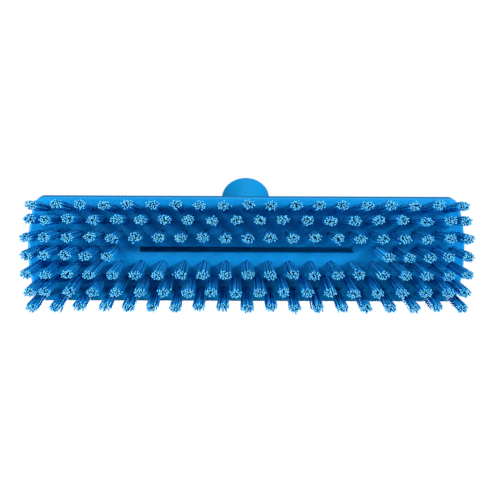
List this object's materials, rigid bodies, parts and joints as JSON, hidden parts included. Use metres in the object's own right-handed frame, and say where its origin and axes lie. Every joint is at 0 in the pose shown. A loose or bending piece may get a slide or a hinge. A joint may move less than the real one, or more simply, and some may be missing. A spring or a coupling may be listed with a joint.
{
  "type": "water-fed scrub brush head",
  "caption": "Blue water-fed scrub brush head: a moulded block with a leaning handle socket, a long water slot in its face and rows of stiff bristle tufts that fan out.",
  "frame": {"origin": "under the middle of the bounding box, in the plane of the trimmed bristle tips", "axes": "+X along the block, -Y to the side that the handle socket leans to, +Z from the bristle tips to the socket"},
  "size_m": [0.272, 0.075, 0.1088],
  "materials": {
    "moulded_polypropylene": "satin moulded plastic",
    "bristle_filament": "smooth stiff filament, trimmed square",
    "anchor_wire": "plain flat stainless wire"
  },
  "bodies": {
    "root": {"brush_block": "moulded_polypropylene", "tufts_row_1": "bristle_filament", "tufts_row_2": "bristle_filament", "tufts_row_3": "bristle_filament", "tufts_row_4_left": "bristle_filament", "tufts_row_4_right": "bristle_filament", "tufts_row_5": "bristle_filament", "tufts_row_6": "bristle_filament", "tufts_row_7": "bristle_filament", "tufts_end_left": "bristle_filament", "tufts_end_right": "bristle_filament", "anchors_row_1": "anchor_wire", "anchors_row_2": "anchor_wire", "anchors_row_3": "anchor_wire", "anchors_row_4_left": "anchor_wire", "anchors_row_4_right": "anchor_wire", "anchors_row_5": "anchor_wire", "anchors_row_6": "anchor_wire", "anchors_row_7": "anchor_wire", "anchors_end_left": "anchor_wire", "anchors_end_right": "anchor_wire"}
  },
  "joints": []
}
